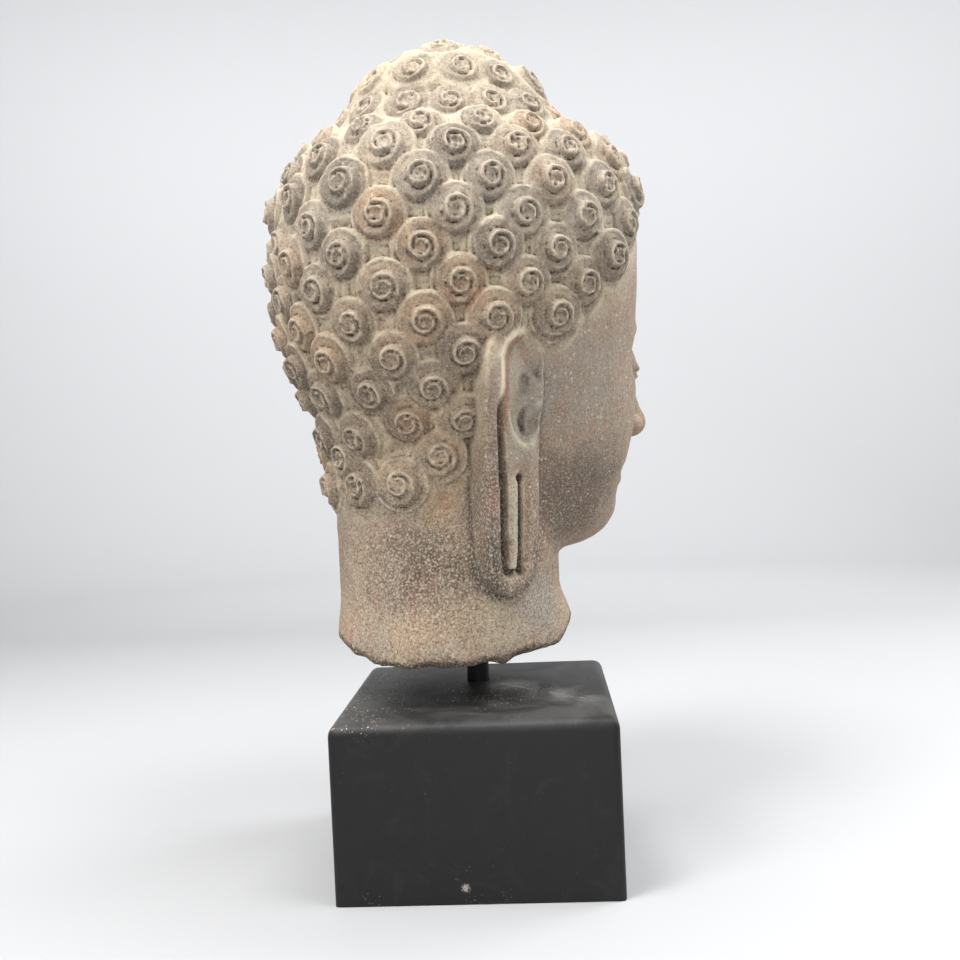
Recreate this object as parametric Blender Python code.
"""A life-size stone Buddha head with snail-shell curls, held by a steel rod over a black painted block.

The block stands square to the axes with the middle of its underside at the origin. The head is carved in
a frame of its own, in millimetres: the rod's axis is x = y = 0, the face looks along -y, and z is the
height above the block's underside. It is then turned on the rod and moved over the rod's place.
"""

import math

import bmesh
import bpy
import numpy as np

MM = 0.001

# The stand
BLOCK_SIDE = 160.0
BLOCK_HEIGHT = 100.0
BLOCK_TOP_ROUND = 6.5
BLOCK_CORNER_ROUND = 4.5
ROUND_STEPS = 3
ROD_DIAMETER = 14.0
ROD_SIDES = 24
ROD_X = 26.3
ROD_Y = 2.0
ROD_BOTTOM = 50.0
ROD_TOP = 175.0
SOCKET_PLAY = 0.4

# The head's place and its main masses
HEAD_TURN = math.radians(27.0)
SKULL_CENTRE = (0.0, -1.0, 365.0)
SKULL_HALF_WIDTH = 93.8
SKULL_HALF_LENGTH = 111.3
SKULL_RISE = 96.8
SKULL_DROP = 137.0
SKULL_FULLNESS = 2.3
TOPKNOT_CENTRE = (0.0, 3.0, 425.0)
TOPKNOT_RADII = (61.5, 69.0, 68.0)
TOPKNOT_FULLNESS = 2.08
FACE_CENTRE = (0.0, -24.0, 290.0)
FACE_RADII = (79.0, 88.0, 112.0)
FACE_FULLNESS = 2.15
CHIN_CENTRE = (0.0, -73.0, 206.0)
CHIN_RADII = (27.0, 24.0, 19.0)

# The neck and the break under it
NECK_CENTRE_Y = 16.0
NECK_HALF_WIDTH = 67.0
NECK_HALF_LENGTH = 69.5
NECK_FLARE = 3.0
NECK_FLARE_FRONT = 5.0
NECK_FLARE_FROM = 165.0
NECK_FLARE_RUN = 32.0
NECK_TOP = 330.0
BREAK_LOWEST = 122.5
BREAK_WAY = (-0.454, -0.891)
BREAK_FRONT_RISE = 4.0
BREAK_BACK_RISE = 14.0
BREAK_REACH = 70.0
BREAK_BACK_FROM = 38.0
BREAK_HOLLOW = 3.5
BREAK_EDGE = 3.0
BREAK_FLAKES = 1.4

# The face, in thirds from the hairline to the chin
HAIRLINE = 384.0
CHIN = 186.0
FACE_THIRD = (HAIRLINE - CHIN) / 3
BROW_LINE = HAIRLINE - FACE_THIRD
NOSE_BASE = BROW_LINE - FACE_THIRD
MOUTH_LINE = NOSE_BASE - FACE_THIRD / 3
BROW_HALF_SPAN = 29.0
BROW_ARCH = 11.0
BROW_PROUD = 2.1
SOCKET_DEPTH = 7.5
SOCKET_REACH = (23.0, 10.0)
EYE_LINE = BROW_LINE - 18.0
EYE_OUT = 33.0
EYE_RADII = (18.5, 10.5)
EYE_PROUD = 6.0
LID_LINE = 2.2
LID_FOLD = 1.4
UPPER_LIP_RADII = (28.0, 7.4)
LOWER_LIP_RADII = (22.0, 8.2)
LIP_PROUD = 5.0
LIP_BOW = 3.6
LIPS_APART = 3.0
LIP_CORNER = 3.2
NOSE_ROOT = (0.0, -106.0, BROW_LINE + 2.0)
NOSE_BRIDGE_END = (0.0, -120.5, NOSE_BASE + 12.0)
NOSE_BRIDGE_RADII = (7.2, 9.2)
NOSE_TIP = (0.0, -121.0, NOSE_BASE + 8.5)
NOSE_TIP_RADII = (10.5, 10.5, 8.5)
NOSTRIL_WING = (11.5, -112.5, NOSE_BASE + 7.5)
NOSTRIL_WING_RADII = (7.5, 11.0, 7.0)
NOSTRIL = (6.8, -118.0, NOSE_BASE - 1.5)
NOSTRIL_RADII = (3.4, 5.5, 3.8)

# The curls
CURL_ROWS = 11
FIRST_ROW_HEIGHT = 229.0
ROW_PITCH = 18.3
CURLS_ROUND = 16
CURL_RADIUS = 16.4
CURL_HEIGHT = 10.4
CURL_TIERS = ((1.0, 0.4), (0.58, 1.0))
CURL_TILT = 0.11
CROWN_FROM = 440.0
CROWN_WEAR = 0.62
CROWN_ROWS = (
    (427.0, 16, 0.5, 0.84),
    (446.0, 16, 0.0, 0.88),
    (468.0, 12, 0.5, 0.88),
    (486.0, 6, 0.0, 0.88),
)
APEX_SIZE = 0.8
APEX_WEAR = 0.6
HAND_SPREAD = 0.9
FRONT_LIFT = 9.0
NAPE_GAP = (25.0, 40.0)
NAPE_DRAWN_IN = 0.88
NAPE_DROP = 6.0
NAPE_HAIRLINE = 225.0
NAPE_HAIRLINE_RISE = 38.0 / 22.0
BEHIND_EAR = (46.0, 70.0)
OVER_EAR_TURN = 96.0
OVER_EAR_HAIRLINE = 312.0
TEMPLE_HAIRLINE = 306.0
TEMPLE_RISE = 1.42
TEMPLE_END_TURN = 145.0

# The ears, as seen from the side: f is forward of the rod, s is out from the middle of the head
EAR_TOP = 316.0
EAR_BOTTOM = 163.5
EAR_UPPER_HALF = 21.5
EAR_LOWER_HALF = 18.0
EAR_UPPER_F = -9.5
EAR_LOWER_F = -10.0
EAR_FRONT_S = 84.0
EAR_INNER_S = 45.0
EAR_SPLAY = 0.32
EAR_DRAWN_IN = 9.0
EAR_PROUD = 4.2
EAR_RIM = 8.2
EAR_EDGE_ROUND = 2.4
EAR_FILLET = 1.0
GROOVE_WIDTH = 5.6
GROOVE_DEPTH = 10.0
PLATE_DEPTH = 4.6
PLATE_LOWER_DEPTH = 1.6
PLATE_F = -2.2
PLATE_TOP = 305.5
PLATE_HALF = 10.4
BEVEL_WIDTH = 8.0
BOWL_CENTRE = (0.0, 266.0)
BOWL_RADII = (11.5, 18.0)
BOWL_RIDGE = 2.8
EAR_HOLE = (2.5, 262.5)
EAR_HOLE_RADII = (6.2, 8.6)
EAR_HOLE_DEPTH = 6.5
SLIT_TOP = (-4.4, 230.5)
SLIT_FOOT = (-4.6, 176.0)
SLIT_HALF_WIDTH = 2.2
SLIT_DEPTH = 7.0

CARVING_STEP = 2.0
HEAD_TRIANGLES = 9300


def clear_scene():
    for thing in list(bpy.data.objects):
        bpy.data.objects.remove(thing, do_unlink=True)


def material(name, colour, roughness, metallic=0.0):
    made = bpy.data.materials.new(name)
    made.use_nodes = True
    shader = made.node_tree.nodes["Principled BSDF"]
    shader.inputs["Base Color"].default_value = (*colour, 1.0)
    shader.inputs["Roughness"].default_value = roughness
    shader.inputs["Metallic"].default_value = metallic
    return made


def add_object(name, mesh, look=None):
    made = bpy.data.objects.new(name, mesh)
    bpy.context.scene.collection.objects.link(made)
    if look:
        mesh.materials.append(look)
    return made


def smoothed(mesh, angle=35.0):
    mesh.shade_smooth()
    mesh.set_sharp_from_angle(angle=math.radians(angle))


# ---------------------------------------------------------------- the stand


def cylinder(name, radius, bottom, top, look=None):
    shape = bmesh.new()
    bmesh.ops.create_cone(
        shape,
        cap_ends=True,
        segments=ROD_SIDES,
        radius1=radius * MM,
        radius2=radius * MM,
        depth=(top - bottom) * MM,
    )
    mesh = bpy.data.meshes.new(name)
    shape.to_mesh(mesh)
    shape.free()
    smoothed(mesh)
    made = add_object(name, mesh, look)
    made.location = (ROD_X * MM, ROD_Y * MM, (bottom + top) / 2 * MM)
    return made


def cutter(name, radius, bottom, top):
    made = cylinder(name, radius, bottom, top)
    made.hide_render = True
    made.display_type = "WIRE"
    return made


def cut(target, tool):
    step = target.modifiers.new(tool.name, "BOOLEAN")
    step.operation = "DIFFERENCE"
    step.solver = "EXACT"
    step.object = tool


def make_block():
    """A square block whose top edges and upright corners are rounded, with a blind hole for the rod."""
    shape = bmesh.new()
    bmesh.ops.create_cube(shape, size=1.0)
    for corner in shape.verts:
        corner.co.x *= BLOCK_SIDE * MM
        corner.co.y *= BLOCK_SIDE * MM
        corner.co.z = (corner.co.z + 0.5) * BLOCK_HEIGHT * MM
    rounding = shape.edges.layers.float.new("bevel_weight_edge")
    for edge in shape.edges:
        low, high = sorted(corner.co.z for corner in edge.verts)
        if low > 0:
            edge[rounding] = 1.0
        elif high > 0:
            edge[rounding] = BLOCK_CORNER_ROUND / BLOCK_TOP_ROUND
    mesh = bpy.data.meshes.new("base_block")
    shape.to_mesh(mesh)
    shape.free()
    block = add_object("base_block", mesh, material("black_paint", (0.022, 0.023, 0.025), 0.55))
    bevel = block.modifiers.new("rounded_edges", "BEVEL")
    bevel.limit_method = "WEIGHT"
    bevel.width = BLOCK_TOP_ROUND * MM
    bevel.segments = ROUND_STEPS
    hole_radius = ROD_DIAMETER / 2 + SOCKET_PLAY
    cut(block, cutter("block_socket", hole_radius, ROD_BOTTOM - SOCKET_PLAY, BLOCK_HEIGHT + 20))
    return block


def make_rod():
    steel = material("black_steel", (0.02, 0.02, 0.021), 0.42, 0.6)
    return cylinder("support_rod", ROD_DIAMETER / 2, ROD_BOTTOM, ROD_TOP, steel)


# ---------------------------------------------------------------- carving tools
# Each mass is a field over space: about the distance to its surface in millimetres, negative in the stone.


def ramp(value, start, end):
    """0 before start, 1 after end, with an eased run between them."""
    share = np.clip((value - start) / (end - start), 0.0, 1.0)
    return share * share * (3 - 2 * share)


def dome(x, z, centre, radii):
    """A round-topped rise of height 1 over an ellipse."""
    u, v = (x - centre[0]) / radii[0], (z - centre[1]) / radii[1]
    return np.sqrt(np.clip(1 - u**2 - v**2, 0.0, 1.0))


def mound(x, z, centre, radii):
    """A soft rise of height 1 that fades out past its radii."""
    return np.exp(-(((x - centre[0]) / radii[0]) ** 2) - ((z - centre[1]) / radii[1]) ** 2)


def egg(x, y, z, centre, radii, power=2.0):
    u, v, w = (x - centre[0]) / radii[0], (y - centre[1]) / radii[1], (z - centre[2]) / radii[2]
    size = (np.abs(u) ** power + np.abs(v) ** power + np.abs(w) ** power) ** (1 / power)
    size = np.maximum(size, 1e-3)
    slopes = [(np.abs(q) / size) ** (power - 1) / r for q, r in zip((u, v, w), radii)]
    return (size - 1) / np.sqrt(np.maximum(sum(slope**2 for slope in slopes), 1e-6))


def capsule(x, y, z, start, end, radius_start, radius_end):
    start, end = np.array(start), np.array(end)
    along = end - start
    share = sum((q - s) * a for q, s, a in zip((x, y, z), start, along)) / (along @ along)
    share = np.clip(share, 0.0, 1.0)
    gap = sum((q - s - a * share) ** 2 for q, s, a in zip((x, y, z), start, along))
    return np.sqrt(gap) - radius_start - (radius_end - radius_start) * share


def joined(a, b, blend):
    """The union of two masses with a fillet about as wide as blend."""
    overlap = np.maximum(blend - np.abs(a - b), 0.0) / blend
    return np.minimum(a, b) - overlap * overlap * blend / 4


def carved(a, b, blend):
    """Mass a with mass b cut out of it, its edge eased."""
    return -joined(-a, b, blend)


# ---------------------------------------------------------------- the head's masses


def skull(x, y, z):
    """The cranium under the hair, with the low topknot on it."""
    depth = np.where(z > SKULL_CENTRE[2], SKULL_RISE, SKULL_DROP)
    radii = (SKULL_HALF_WIDTH, SKULL_HALF_LENGTH, depth)
    cranium = egg(x, y, z, SKULL_CENTRE, radii, SKULL_FULLNESS)
    return joined(cranium, egg(x, y, z, TOPKNOT_CENTRE, TOPKNOT_RADII, TOPKNOT_FULLNESS), 8.0)


def break_height(x, y):
    """The height of the break under the neck: nearly level, and turned up at the throat and the nape."""
    across = x * BREAK_WAY[0] + (y - NECK_CENTRE_Y) * BREAK_WAY[1]
    front = BREAK_FRONT_RISE * ramp(across, 20.0, 60.0) + 1.2 * np.maximum(across - BREAK_REACH + 4.0, 0.0)
    back = np.maximum(-across - BREAK_BACK_FROM, 0.0) / (BREAK_REACH - BREAK_BACK_FROM)
    return BREAK_LOWEST + front + BREAK_BACK_RISE * back**1.3


def neck(x, y, z):
    """The neck, with its lower end broken off in flakes and its edge chipped."""
    wider = NECK_FLARE + NECK_FLARE_FRONT * ramp(-y, -10.0, 50.0)
    foot = ramp(-z, -NECK_FLARE_FROM, -NECK_FLARE_FROM + NECK_FLARE_RUN)
    flare = 1 + wider / NECK_HALF_LENGTH * foot
    u, v = x / (NECK_HALF_WIDTH * flare), (y - NECK_CENTRE_Y) / (NECK_HALF_LENGTH * flare)
    size = np.hypot(u, v)
    column = (size - 1) * NECK_HALF_WIDTH
    flakes = BREAK_FLAKES * (0.6 * np.sin(x / 9.0 + 1.0) * np.sin(y / 11.0) + 0.4 * np.sin(x / 5.3 - y / 6.1))
    under = break_height(x, y) + 1.0 + flakes + BREAK_HOLLOW * ramp(-size, -0.85, -0.4)
    column = column + 0.9 * np.maximum(BREAK_EDGE + 0.6 * flakes - (z - under), 0.0)
    return np.maximum(np.maximum(column, under - z), z - NECK_TOP)


def scalp(x, y, z):
    """The skull on its neck, which the hair covers."""
    return joined(skull(x, y, z), neck(x, y, z), 14.0)


def eyes_and_brows(side, z):
    """How far the brows and the lowered lids stand out, and how deep the sockets and the lid lines go."""
    across = (side - EYE_OUT) / BROW_HALF_SPAN
    brow_height = BROW_LINE + 5.0 - BROW_ARCH * across**2
    brow_span = ramp(side, 4.0, 14.0) * ramp(-side, -66.0, -54.0)
    relief = BROW_PROUD * np.exp(-(((z - brow_height) / 2.6) ** 2)) * brow_span
    socket = mound(side, z, (EYE_OUT - 2.0, EYE_LINE + 4.0), SOCKET_REACH)
    relief = relief - SOCKET_DEPTH * socket * ramp(-z, -brow_height, -brow_height + 4)
    relief = relief + EYE_PROUD * dome(side, z, (EYE_OUT, EYE_LINE - 1.0), EYE_RADII)
    from_middle = np.abs(side - EYE_OUT)
    lid_edge = EYE_LINE - 6.0 - 2.0 * (1 - (from_middle / 16.0) ** 2)
    lid_span = ramp(-from_middle, -16.5, -12.0)
    relief = relief - LID_LINE * np.exp(-(((z - lid_edge) / 1.3) ** 2)) * lid_span
    lid_fold = EYE_LINE + 8.0 - 7.0 * (from_middle / 20.0) ** 2
    return relief - LID_FOLD * np.exp(-(((z - lid_fold) / 1.4) ** 2)) * ramp(-from_middle, -19.0, -13.0)


def mouth(side, z):
    """How far the lips stand out over the chin, parted by a line that turns up at its ends."""
    smile = MOUTH_LINE + LIP_CORNER * (side / UPPER_LIP_RADII[0]) ** 2
    bow = LIP_BOW * np.exp(-((side / 4.0) ** 2))
    upper_lip = dome(side, z + bow * 0.4, (0.0, MOUTH_LINE + 4.6), UPPER_LIP_RADII)
    lower_lip = dome(side, z, (0.0, MOUTH_LINE - 5.6), LOWER_LIP_RADII)
    relief = LIP_PROUD * np.maximum(upper_lip, 1.08 * lower_lip)
    relief = relief - LIPS_APART * np.exp(-(((z - smile) / 1.5) ** 2)) * ramp(-side, -30.0, -24.0)
    relief = relief - 1.6 * mound(side, z, (30.5, MOUTH_LINE + 3.5), (4.0, 4.5))
    relief = relief - 1.0 * mound(side, z, (0.0, NOSE_BASE - 8.0), (2.6, 7.0))
    return relief - 2.4 * mound(side, z, (0.0, MOUTH_LINE - 16.0), (19.0, 4.0))


def nose(x, y, z):
    side = np.abs(x)
    bridge = capsule(x, y, z, NOSE_ROOT, NOSE_BRIDGE_END, *NOSE_BRIDGE_RADII)
    tip = egg(x, y, z, NOSE_TIP, NOSE_TIP_RADII)
    wing = egg(side, y, z, NOSTRIL_WING, NOSTRIL_WING_RADII)
    shape = joined(joined(bridge, tip, 6.0), wing, 4.0)
    return carved(shape, egg(side, y, z, NOSTRIL, NOSTRIL_RADII), 1.6)


def face(x, y, z):
    mass = egg(x, y, z, FACE_CENTRE, FACE_RADII, FACE_FULLNESS)
    mass = joined(mass, egg(x, y, z, CHIN_CENTRE, CHIN_RADII), 26.0)
    side = np.abs(x)
    return mass - (eyes_and_brows(side, z) + mouth(side, z)) * ramp(-y, 40.0, 70.0)


def ear_outline(f, z):
    """How far a point of the ear is in from its edge, and its share of the way down to the lobe."""
    upper, lower = EAR_TOP - EAR_UPPER_HALF, EAR_BOTTOM + EAR_LOWER_HALF
    down = np.clip((upper - z) / (upper - lower), 0.0, 1.0)
    half = EAR_UPPER_HALF + (EAR_LOWER_HALF - EAR_UPPER_HALF) * down
    middle = EAR_UPPER_F + (EAR_LOWER_F - EAR_UPPER_F) * down
    return half - np.hypot(f - middle, z - np.clip(z, lower, upper)), down


def ear_recess(f, z, inward):
    """How deep the ear is carved below its outer face, at f forward, z high and so far in from its edge."""
    behind = ramp(-f, -EAR_UPPER_F - 7.0, -EAR_UPPER_F + 1.0)
    over_top = ramp(z, 281.0, 290.0) * ramp(-f, -12.5, -8.5)
    ringed = np.maximum(np.maximum(behind * ramp(z, 172.0, 180.0), over_top), ramp(-f, -9.0, -2.0))
    plate = PLATE_DEPTH + (PLATE_LOWER_DEPTH - PLATE_DEPTH) * ramp(-z, -268.0, -240.0)
    plate = plate + 1.6 * ramp(z, 262.0, 290.0)
    bevelled = ramp(z, 264.0, 282.0)
    in_plate = PLATE_HALF - np.hypot(f - PLATE_F, np.maximum(z - PLATE_TOP + PLATE_HALF, 0.0))
    bevel = np.interp(in_plate, (-BEVEL_WIDTH, -BEVEL_WIDTH / 2, 0.0), (0.0, 0.28, 1.0))
    into_plate = bevelled * bevel + (1 - bevelled) * ramp(inward, EAR_RIM - 0.6, EAR_RIM + 1.4)
    recess = plate * into_plate * ringed
    from_groove = np.abs(inward - EAR_RIM - 1.2 - GROOVE_WIDTH / 2)
    groove = ramp(-from_groove, -GROOVE_WIDTH / 2 - 0.5, -GROOVE_WIDTH / 2 + 0.8) * behind
    groove = groove * ramp(z, 172.0, 178.0) * ramp(-z, -282.0, -266.0)
    recess = np.maximum(recess, GROOVE_DEPTH * groove)
    bowl = np.hypot((f - BOWL_CENTRE[0]) / BOWL_RADII[0], (z - BOWL_CENTRE[1]) / BOWL_RADII[1])
    ridge = np.exp(-(((bowl - 1.0) / 0.15) ** 2)) * ramp(-z, -272.0, -260.0) * ramp(-f, -7.0, -2.0)
    recess = recess - BOWL_RIDGE * ridge * (1 - groove)
    recess = recess + EAR_HOLE_DEPTH * dome(f, z, EAR_HOLE, EAR_HOLE_RADII)
    along = np.clip((SLIT_TOP[1] - z) / (SLIT_TOP[1] - SLIT_FOOT[1]), 0.0, 1.0)
    slit_f = SLIT_TOP[0] + (SLIT_FOOT[0] - SLIT_TOP[0]) * along
    slit = np.hypot(f - slit_f, z - np.clip(z, SLIT_FOOT[1], SLIT_TOP[1]))
    return recess + SLIT_DEPTH * ramp(-slit, -SLIT_HALF_WIDTH, -SLIT_HALF_WIDTH + 1.0)


def ear(s, f, z):
    """A long ear on one side, s out from the middle of the head and f forward: a broad rim round a groove
    and a dished inner ear, and a slit lobe that reaches down the neck."""
    inward, down = ear_outline(f, z)
    level = EAR_FRONT_S + EAR_SPLAY * (EAR_UPPER_F + EAR_UPPER_HALF - f) - EAR_DRAWN_IN * down
    level = level + EAR_PROUD * ramp(z, 258.0, 290.0)
    outer_face = (s - level + ear_recess(f, z, inward)) * 0.85
    body = -joined(inward, -outer_face, EAR_EDGE_ROUND)
    return np.maximum(body, EAR_INNER_S - s)


def bare_head(x, y, z):
    """The head without its curls."""
    front = joined(face(x, y, z), nose(x, y, z), 5.0)
    whole = joined(scalp(x, y, z), front, 9.0)
    return joined(whole, ear(np.abs(x), -y, z), EAR_FILLET)


# ---------------------------------------------------------------- the curls


def hair_reaches(turn, height):
    """Whether a curl at this turn from the back of the head and this height is inside the hairline."""
    turn = abs((turn + 180.0) % 360.0 - 180.0)
    if turn < BEHIND_EAR[1]:
        return height > NAPE_HAIRLINE + NAPE_HAIRLINE_RISE * max(0.0, turn - BEHIND_EAR[0])
    if turn < OVER_EAR_TURN:
        return height > OVER_EAR_HAIRLINE
    return height > TEMPLE_HAIRLINE + TEMPLE_RISE * (min(turn, TEMPLE_END_TURN) - OVER_EAR_TURN)


def curl_places():
    """(turn from the back in degrees, height, share of full size) of each curl, from nape to crown."""
    places = []
    step = 360.0 / CURLS_ROUND
    for row in range(CURL_ROWS):
        height = FIRST_ROW_HEIGHT + row * ROW_PITCH
        for place_in_row in range(CURLS_ROUND):
            turn = (place_in_row + 0.5 * (row % 2)) * step
            from_back = abs((turn + 180.0) % 360.0 - 180.0)
            if not hair_reaches(turn, height):
                continue
            if row == 1 and NAPE_GAP[0] < from_back < NAPE_GAP[1]:
                continue
            lift = FRONT_LIFT * float(ramp(from_back, 125.0, 160.0)) * float(ramp(height, 350.0, 370.0))
            if row == 0:
                turn = turn * NAPE_DRAWN_IN
            if row == 2 and from_back < NAPE_GAP[1]:
                lift = -NAPE_DROP
            places.append((turn, height + lift, 1.0))
    for height, count, offset, size in CROWN_ROWS:
        places += [((n + offset) * 360.0 / count, height, size) for n in range(count)]
    places.append((0.0, TOPKNOT_CENTRE[2] + TOPKNOT_RADII[2], APEX_SIZE))
    return places


def on_skull(turn, height):
    """The point of the skull at this turn and height, and the direction straight out of it."""
    angle = math.radians(turn)
    out = np.array([-math.sin(angle), math.cos(angle), 0.0])
    middle = np.array([0.0, TOPKNOT_CENTRE[1], height])
    near, far = 0.0, 140.0
    while far - near > 0.01:
        reach = (near + far) / 2
        near, far = (reach, far) if scalp(*(middle + out * reach)) < 0 else (near, reach)
    point = middle + out * near
    slope = np.array([float(scalp(*(point + nudge)) - scalp(*(point - nudge))) for nudge in np.eye(3)])
    return point, slope / np.linalg.norm(slope)


def add_curls(stone, axes):
    """Each curl is a stepped cone of two tiers, set square to the skull and tipped up a little."""
    chance = np.random.default_rng(7)
    for turn, height, size in curl_places():
        centre, out = on_skull(turn, height)
        centre = centre + chance.normal(0.0, HAND_SPREAD, 3)
        radius = CURL_RADIUS * size * (1 + chance.normal(0.0, 0.03))
        tall = CURL_HEIGHT * size * (CROWN_WEAR if height > CROWN_FROM else 1.0)
        if size == APEX_SIZE:
            tall = tall * APEX_WEAR
        reach = radius + 4
        near = [np.searchsorted(axis, middle - reach) for axis, middle in zip(axes, centre)]
        far = [np.searchsorted(axis, middle + reach) for axis, middle in zip(axes, centre)]
        box = tuple(slice(a, b) for a, b in zip(near, far))
        x, y, z = np.meshgrid(*[axis[part] for axis, part in zip(axes, box)], indexing="ij")
        x, y, z = x - centre[0], y - centre[1], z - centre[2]
        lift = x * out[0] + y * out[1] + z * out[2]
        away = np.sqrt(np.maximum(x * x + y * y + z * z - lift * lift, 0.0))
        tipped = CURL_TILT * (z - lift * out[2])
        shape = stone[box]
        for share, top in CURL_TIERS:
            tier = np.maximum(away - radius * share, lift - tall * top - tipped)
            shape = np.minimum(shape, np.maximum(tier, -8.0 - lift))
        stone[box] = shape


# ---------------------------------------------------------------- from the field to a mesh


def close_pinches(stone, filling):
    """Fills the grid points that leave two parts of the stone touching only along an edge or at a corner."""
    whole = slice(None)
    found = 1
    while found:
        found = 0
        inside = stone < 0
        walls = np.zeros(stone.shape, np.int8)
        for axis in range(3):
            for way in (-1, 1):
                walls += np.roll(inside, way, axis)
        stone[(walls == 6) & ~inside] = -filling
        inside = stone < 0
        for flat in range(3):
            a, b = [n for n in range(3) if n != flat]
            corners = {}
            for low in (0, 1):
                for high in (0, 1):
                    part = [whole] * 3
                    part[a] = slice(low, stone.shape[a] - 1 + low)
                    part[b] = slice(high, stone.shape[b] - 1 + high)
                    corners[low, high] = tuple(part)
            one, other = inside[corners[0, 0]], inside[corners[0, 1]]
            pinched = (one == inside[corners[1, 1]]) & (other == inside[corners[1, 0]]) & (one != other)
            found += int(pinched.sum())
            for part in corners.values():
                view = stone[part]
                view[pinched & (view >= 0)] = -filling
        inside = stone < 0
        shape = [n - 1 for n in stone.shape]
        corners = {
            (i, j, k): inside[i : i + shape[0], j : j + shape[1], k : k + shape[2]]
            for i in (0, 1)
            for j in (0, 1)
            for k in (0, 1)
        }
        count = sum(corner.astype(np.int8) for corner in corners.values())
        for i, j in ((0, 0), (0, 1), (1, 0), (1, 1)):
            one, other = corners[i, j, 0], corners[1 - i, 1 - j, 1]
            pinched = ((count == 2) & one & other) | ((count == 6) & ~one & ~other)
            found += int(pinched.sum())
            for cell in np.argwhere(pinched):
                part = tuple(slice(n, n + 2) for n in cell)
                stone[part] = np.minimum(stone[part], -filling)


def surface_of(stone, axes):
    """The closed surface where the field is zero: a vertex in each cell it crosses, a quad on each edge."""
    inside = stone < 0
    cells = tuple(n - 1 for n in stone.shape)
    total = np.zeros((*cells, 3), np.float32)
    hits = np.zeros(cells, np.float32)
    for axis in range(3):
        across = [slice(None)] * 3
        first, second = list(across), list(across)
        first[axis], second[axis] = slice(None, -1), slice(1, None)
        a, b = stone[tuple(first)], stone[tuple(second)]
        crossed = (a < 0) != (b < 0)
        share = np.where(crossed, a / np.where(crossed, a - b, 1.0), 0.0)
        others = [n for n in range(3) if n != axis]
        for low in (0, 1):
            for high in (0, 1):
                part = [slice(None)] * 3
                part[others[0]] = slice(low, low + cells[others[0]])
                part[others[1]] = slice(high, high + cells[others[1]])
                here = crossed[tuple(part)]
                hits += here
                total[..., axis] += share[tuple(part)] * here
                total[..., others[0]] += low * here
                total[..., others[1]] += high * here
    used = hits > 0
    number = np.full(cells, -1, np.int64)
    number[used] = np.arange(used.sum())
    index = np.argwhere(used)
    local = total[used] / hits[used][:, None]
    step = np.array([axis[1] - axis[0] for axis in axes])
    start = np.array([axis[0] for axis in axes])
    points = start + (index + local) * step
    quads = []
    for axis in range(3):
        a, b = (axis + 1) % 3, (axis + 2) % 3
        first, second = [slice(1, -1)] * 3, [slice(1, -1)] * 3
        first[axis], second[axis] = slice(None, -1), slice(1, None)
        start_in, end_in = inside[tuple(first)], inside[tuple(second)]
        for leaving in (True, False):
            edges = np.argwhere((start_in == leaving) & (end_in != leaving))
            edges[:, a] += 1
            edges[:, b] += 1
            around = []
            for back_a, back_b in ((1, 1), (0, 1), (0, 0), (1, 0)):
                cell = edges.copy()
                cell[:, a] -= back_a
                cell[:, b] -= back_b
                around.append(number[tuple(cell.T)])
            around = np.stack(around, axis=1)
            quads.append(around if leaving else around[:, ::-1])
    return points, np.concatenate(quads)


def make_head():
    axes = [
        np.arange(-118.0, 118.0 + CARVING_STEP, CARVING_STEP, dtype=np.float32),
        np.arange(-144.0, 136.0 + CARVING_STEP, CARVING_STEP, dtype=np.float32),
        np.arange(104.0, 520.0 + CARVING_STEP, CARVING_STEP, dtype=np.float32),
    ]
    x, y, z = np.meshgrid(*axes, indexing="ij")
    stone = bare_head(x, y, z)
    add_curls(stone, axes)
    close_pinches(stone, CARVING_STEP / 4)
    points, quads = surface_of(stone, axes)
    mesh = bpy.data.meshes.new("head")
    mesh.from_pydata(points * MM, [], quads.tolist())
    mesh.update()
    smoothed(mesh)
    head = add_object("head", mesh, material("carved_stone", (0.36, 0.30, 0.24), 0.9))
    head.rotation_euler.z = HEAD_TURN
    head.location = (ROD_X * MM, ROD_Y * MM, 0.0)
    thin = head.modifiers.new("fewer_faces", "DECIMATE")
    thin.ratio = HEAD_TRIANGLES / (2 * len(quads))
    cut(head, cutter("head_socket", ROD_DIAMETER / 2 + SOCKET_PLAY, BREAK_LOWEST - 20, ROD_TOP + SOCKET_PLAY))
    return head


clear_scene()
make_block()
make_rod()
make_head()
